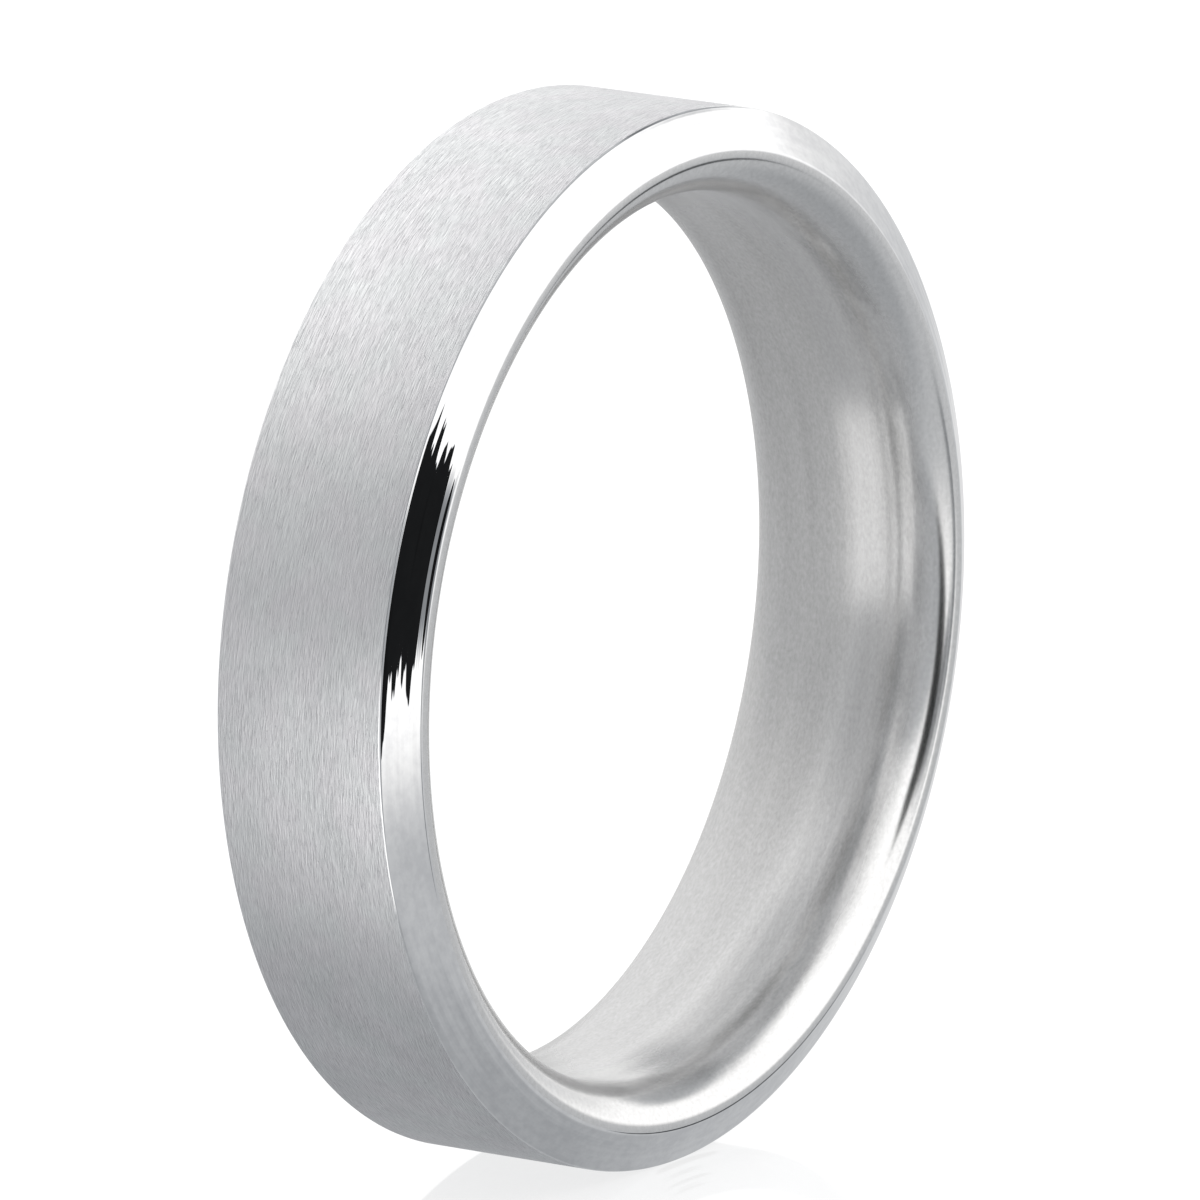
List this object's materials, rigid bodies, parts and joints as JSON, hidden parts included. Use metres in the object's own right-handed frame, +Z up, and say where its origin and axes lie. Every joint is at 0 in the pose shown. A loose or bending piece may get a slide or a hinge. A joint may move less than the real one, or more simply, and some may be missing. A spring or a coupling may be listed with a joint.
{
  "type": "wedding band",
  "caption": "One-piece metal wedding band with a brushed outer face, polished bevelled edges and a rounded comfort-fit bore.",
  "frame": {"origin": "centre of the finger bore, midway between the two edges", "axes": "+Y along the finger bore, -Y towards the edge that faces the viewer, +Z up with the band standing on its outer face"},
  "size_m": [0.0226, 0.005, 0.0226],
  "materials": {
    "white_metal": "white precious metal: satin brushed round the outer face, mirror polished on both bevels, fine satin in the bore"
  },
  "bodies": {
    "root": {"band": "white_metal"}
  },
  "joints": []
}
